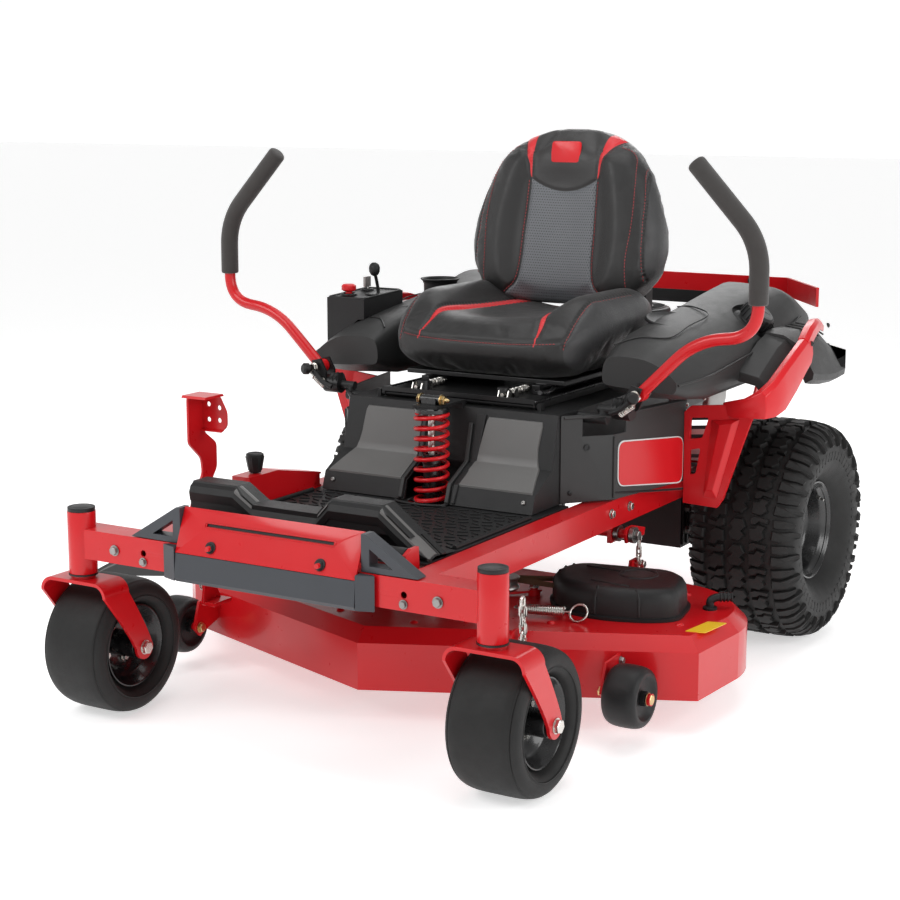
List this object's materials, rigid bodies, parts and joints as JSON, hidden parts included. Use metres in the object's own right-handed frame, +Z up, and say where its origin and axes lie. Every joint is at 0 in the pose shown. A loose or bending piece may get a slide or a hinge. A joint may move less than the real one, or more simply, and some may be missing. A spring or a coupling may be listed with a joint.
{
  "type": "zero turn mower",
  "caption": "Ride-on zero turn mower with a mid-mounted cutting deck, twin steering levers, a suspended seat platform, large rear drive tyres and front casters.",
  "frame": {"origin": "centre of the bounding box at ground level, under the tyres", "axes": "-Y is the front of the machine, +X the operator's left, +Z up"},
  "size_m": [1.6614, 1.905, 1.1912],
  "materials": {
    "red_paint": "gloss powder coat",
    "black_paint": "satin",
    "black_plastic": "textured",
    "grey_plastic": "textured",
    "tyre_rubber": "matte",
    "seat_vinyl": "grained",
    "zinc": "zinc plated",
    "steel": "satin",
    "alloy": "cast",
    "lever_paint": "gloss powder coat, foam grip"
  },
  "bodies": {
    "chassis": {"frame_rails": "red_paint", "front_frame": "red_paint", "caster_housings": "red_paint", "caster_bearings": "zinc", "bumper_plate": "red_paint", "bumper_valance": "black_plastic", "fuel_tank": "grey_plastic", "storage_pod": "grey_plastic", "side_panels": "grey_plastic", "side_trims": "red_paint", "rear_fenders": "grey_plastic", "engine_block": "alloy", "blower_housing": "black_plastic", "muffler": "black_paint", "engine_guard": "red_paint", "transaxles": "alloy", "shock_cylinder": "steel", "control_console": "black_plastic"},
    "fuel_cap": {"fuel_cap": "black_plastic"},
    "rear_wheel_left": {"rear_tyre_left": "tyre_rubber", "rear_rim_left": "black_paint"},
    "rear_wheel_right": {"rear_tyre_right": "tyre_rubber", "rear_rim_right": "black_paint"},
    "caster_left": {"caster_fork_left": "red_paint"},
    "caster_right": {"caster_fork_right": "red_paint"},
    "caster_wheel_left": {"caster_tyre_left": "tyre_rubber", "caster_rim_left": "black_paint"},
    "caster_wheel_right": {"caster_tyre_right": "tyre_rubber", "caster_rim_right": "black_paint"},
    "deck": {"deck_shell": "red_paint", "spindle_housings": "alloy", "belt_covers": "black_plastic", "belt_drive": "black_paint", "roller_brackets": "red_paint", "lift_chains": "zinc"},
    "spindle_left": {"blade_left": "steel"},
    "spindle_center": {"blade_center": "steel"},
    "spindle_right": {"blade_right": "steel"},
    "roller_left": {"deck_roller_left": "black_plastic"},
    "roller_right": {"deck_roller_right": "black_plastic"},
    "deflector": {"discharge_deflector": "black_plastic"},
    "lift_shaft": {"lift_shaft": "red_paint"},
    "lift_pedal": {"lift_pedal": "red_paint"},
    "height_knob": {"height_knob": "black_plastic"},
    "clutch": {"clutch_pulley": "steel"},
    "platform": {"floor_pan": "black_plastic", "seat_shroud": "black_plastic", "shock_rod": "zinc", "shock_spring": "red_paint"},
    "seat_tilt": {"seat_plate": "black_paint"},
    "seat": {"seat_frame": "black_paint", "seat_cushion": "seat_vinyl", "seat_backrest": "seat_vinyl"},
    "control_left": {"control_arm_left": "black_paint"},
    "control_right": {"control_arm_right": "black_paint"},
    "lever_left": {"lap_bar_left": "lever_paint"},
    "lever_right": {"lap_bar_right": "lever_paint"},
    "throttle": {"throttle_lever": "black_plastic"},
    "pto_knob": {"pto_knob": "black_plastic"},
    "ignition_key": {"ignition_key": "black_plastic"}
  },
  "joints": [
    {"name": "rear_wheel_left_spin", "type": "hinge", "parent": "chassis", "child": "rear_wheel_left", "pos_m": [0.64825, 0.4162, 0.254], "axis": [1, 0, 0], "continuous": true},
    {"name": "caster_left_swivel", "type": "hinge", "parent": "chassis", "child": "caster_left", "pos_m": [0.62725, -0.8948, 0.36], "axis": [0, 0, 1], "continuous": true},
    {"name": "caster_wheel_left_spin", "type": "hinge", "parent": "caster_left", "child": "caster_wheel_left", "pos_m": [0.62725, -0.8128, 0.1397], "axis": [1, 0, 0], "continuous": true},
    {"name": "rear_wheel_right_spin", "type": "hinge", "parent": "chassis", "child": "rear_wheel_right", "pos_m": [-0.33975, 0.4162, 0.254], "axis": [1, 0, 0], "continuous": true},
    {"name": "caster_right_swivel", "type": "hinge", "parent": "chassis", "child": "caster_right", "pos_m": [-0.31875, -0.8948, 0.36], "axis": [0, 0, 1], "continuous": true},
    {"name": "caster_wheel_right_spin", "type": "hinge", "parent": "caster_right", "child": "caster_wheel_right", "pos_m": [-0.31875, -0.8128, 0.1397], "axis": [1, 0, 0], "continuous": true},
    {"name": "deck_lift", "type": "slide", "parent": "chassis", "child": "deck", "axis": [0, 0, 1], "range_m": [-0.038, 0.038]},
    {"name": "lift_shaft_turn", "type": "hinge", "parent": "chassis", "child": "lift_shaft", "pos_m": [0.15425, -0.0808, 0.316], "axis": [1, 0, 0], "range_deg": [-36, 36]},
    {"name": "lift_pedal_push", "type": "hinge", "parent": "chassis", "child": "lift_pedal", "pos_m": [-0.19075, -0.7038, 0.369], "axis": [1, 0, 0], "range_deg": [-13, 13]},
    {"name": "height_knob_turn", "type": "hinge", "parent": "chassis", "child": "height_knob", "pos_m": [-0.15575, -0.5338, 0.462], "axis": [0, 0, 1], "range_deg": [0, 300]},
    {"name": "clutch_spin", "type": "hinge", "parent": "chassis", "child": "clutch", "pos_m": [0.15425, 0.5362, 0.32], "axis": [0, 0, 1], "continuous": true},
    {"name": "blade_center_spin", "type": "hinge", "parent": "deck", "child": "spindle_center", "pos_m": [0.15425, -0.3738, 0.15], "axis": [0, 0, 1], "continuous": true},
    {"name": "blade_left_spin", "type": "hinge", "parent": "deck", "child": "spindle_left", "pos_m": [0.56725, -0.1838, 0.15], "axis": [0, 0, 1], "continuous": true},
    {"name": "blade_right_spin", "type": "hinge", "parent": "deck", "child": "spindle_right", "pos_m": [-0.25875, -0.1838, 0.15], "axis": [0, 0, 1], "continuous": true},
    {"name": "roller_left_spin", "type": "hinge", "parent": "deck", "child": "roller_left", "pos_m": [0.70225, -0.4888, 0.102], "axis": [1, 0, 0], "continuous": true},
    {"name": "roller_right_spin", "type": "hinge", "parent": "deck", "child": "roller_right", "pos_m": [-0.36575, -0.5388, 0.102], "axis": [1, 0, 0], "continuous": true},
    {"name": "deflector_raise", "type": "hinge", "parent": "deck", "child": "deflector", "pos_m": [-0.50175, -0.2038, 0.184], "axis": [0, 1, 0], "range_deg": [0, 85]},
    {"name": "platform_suspension", "type": "hinge", "parent": "chassis", "child": "platform", "pos_m": [0.15425, -0.8288, 0.418], "axis": [-1, 0, 0], "range_deg": [0, 1.5], "stiffness_Nm_per_rad": 30000, "springref_deg": -2.29, "deforming": ["shock_spring"]},
    {"name": "seat_tilt_forward", "type": "hinge", "parent": "platform", "child": "seat_tilt", "pos_m": [0.15425, -0.2118, 0.6], "axis": [1, 0, 0], "range_deg": [0, 30]},
    {"name": "seat_slide", "type": "slide", "parent": "seat_tilt", "child": "seat", "axis": [0, 1, 0], "range_m": [-0.05, 0.05]},
    {"name": "drive_lever_left", "type": "hinge", "parent": "platform", "child": "control_left", "pos_m": [0.50925, -0.1538, 0.598], "axis": [1, 0, 0], "range_deg": [-14, 14]},
    {"name": "lap_bar_left_swing", "type": "hinge", "parent": "control_left", "child": "lever_left", "pos_m": [0.55625, -0.1538, 0.636], "axis": [0, -1, 0], "range_deg": [0, 33]},
    {"name": "drive_lever_right", "type": "hinge", "parent": "platform", "child": "control_right", "pos_m": [-0.20075, -0.1538, 0.598], "axis": [1, 0, 0], "range_deg": [-14, 14]},
    {"name": "lap_bar_right_swing", "type": "hinge", "parent": "control_right", "child": "lever_right", "pos_m": [-0.24775, -0.1538, 0.636], "axis": [0, 1, 0], "range_deg": [0, 33]},
    {"name": "throttle_push", "type": "hinge", "parent": "chassis", "child": "throttle", "pos_m": [-0.25175, 0.0942, 0.756], "axis": [1, 0, 0], "range_deg": [-20, 20]},
    {"name": "pto_pull", "type": "slide", "parent": "chassis", "child": "pto_knob", "axis": [0, 0, 1], "range_m": [0, 0.012]},
    {"name": "key_turn", "type": "hinge", "parent": "chassis", "child": "ignition_key", "pos_m": [-0.30375, 0.1262, 0.78], "axis": [0, 0, 1], "range_deg": [-90, 0]},
    {"name": "fuel_cap_twist", "type": "hinge", "parent": "chassis", "child": "fuel_cap", "pos_m": [0.59325, 0.3562, 0.733], "axis": [0.6561, 0, 0.7547], "range_deg": [0, 180]}
  ],
  "couplings": [
    {"joint": "lift_shaft_turn", "follows": "deck_lift", "rad_per_m": 16.2},
    {"joint": "lift_pedal_push", "follows": "deck_lift", "rad_per_m": 5.8},
    {"joint": "blade_left_spin", "follows": "blade_center_spin", "ratio": 1},
    {"joint": "blade_right_spin", "follows": "blade_center_spin", "ratio": 1}
  ]
}
